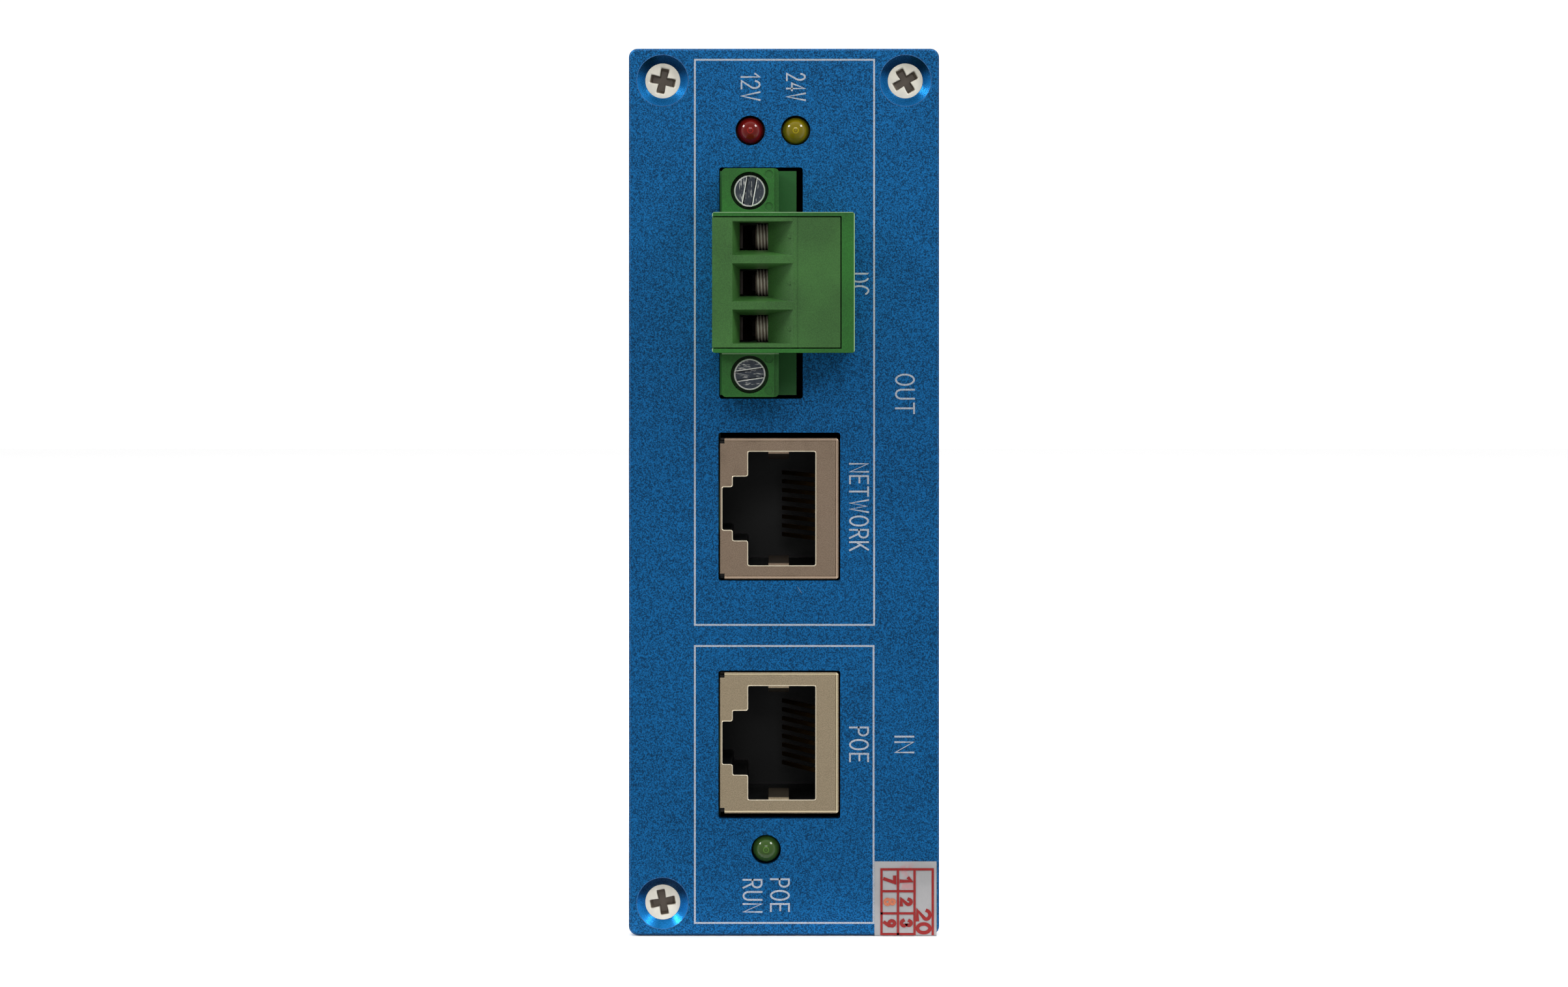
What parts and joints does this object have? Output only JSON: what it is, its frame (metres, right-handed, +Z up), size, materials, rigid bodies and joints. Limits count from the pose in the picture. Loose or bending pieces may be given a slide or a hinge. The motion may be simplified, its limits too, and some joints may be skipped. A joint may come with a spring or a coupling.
{
  "type": "poe splitter",
  "caption": "Slim rail-mount PoE splitter: extruded metal case, blue front panel, shielded network jacks, pluggable screw terminal, status lights and a sprung rail clip.",
  "frame": {"origin": "middle of the clip face that seats on the rail's edge flanges, at the rail's centre line", "axes": "+X along the rail, to the right seen from the front; +Y into the rail, so the front panel faces -Y; +Z up"},
  "size_m": [0.035, 0.1134, 0.1001],
  "materials": {
    "panel_blue": "blue anodised, fine matt grain",
    "case_metal": "clear anodised, drawn along its length",
    "screw_nickel": "nickel plated",
    "label_paper": "matt coated paper",
    "clip_nylon": "glass-filled nylon",
    "spring_steel": "bright spring wire",
    "board_green": "solder mask",
    "jack_shield": "satin nickel sheet",
    "jack_insulator": "black moulding",
    "contact_gold": "gold plated",
    "header_green": "moulded",
    "pin_tin": "tin plated",
    "insert_brass": "turned",
    "plug_green": "moulded",
    "cage_nickel": "nickel plated",
    "lens_red": "tinted epoxy",
    "lens_yellow": "tinted epoxy",
    "lens_green": "tinted epoxy",
    "package_black": "moulded",
    "can_sleeve": "sleeved can",
    "ferrite": "sintered",
    "bobbin_plastic": "moulded",
    "winding_tape": "taped winding",
    "disc_blue": "dipped"
  },
  "bodies": {
    "module": {"front_panel": "panel_blue", "rear_panel": "panel_blue", "case_extrusion": "case_metal", "front_screws": "screw_nickel", "rear_screws": "screw_nickel", "clip_screws": "screw_nickel", "date_label": "label_paper", "clip_base": "clip_nylon", "clip_spring": "spring_steel", "circuit_board": "board_green", "network_jack_shield": "jack_shield", "poe_jack_shield": "jack_shield", "network_jack_housing": "jack_insulator", "poe_jack_housing": "jack_insulator", "network_jack_contacts": "contact_gold", "poe_jack_contacts": "contact_gold", "terminal_header": "header_green", "header_pins": "pin_tin", "header_inserts": "insert_brass", "plug_housing": "plug_green", "plug_cover": "plug_green", "clamp_cage_1": "cage_nickel", "clamp_cage_2": "cage_nickel", "clamp_cage_3": "cage_nickel", "clamp_screws": "screw_nickel", "flange_screws": "screw_nickel", "plug_contacts": "pin_tin", "led_red": "lens_red", "led_yellow": "lens_yellow", "led_green": "lens_green", "led_leads": "pin_tin", "network_magnetics": "package_black", "poe_magnetics": "package_black", "bridge_rectifier_1": "package_black", "bridge_rectifier_2": "package_black", "pd_controller": "package_black", "converter_controller": "package_black", "power_mosfet": "package_black", "output_diode": "package_black", "optocoupler": "package_black", "input_capacitor": "can_sleeve", "output_capacitor_1": "can_sleeve", "output_capacitor_2": "can_sleeve", "transformer_core": "ferrite", "transformer_bobbin": "bobbin_plastic", "transformer_winding": "winding_tape", "output_choke": "ferrite", "safety_capacitor": "disc_blue"},
    "latch": {"clip_latch": "clip_nylon"}
  },
  "joints": [
    {"name": "latch_slide", "type": "slide", "parent": "module", "child": "latch", "axis": [0, 0, -1], "range_m": [0, 0.0035], "stiffness_N_per_m": 600, "springref_m": -0.005, "deforming": ["clip_spring"]}
  ]
}
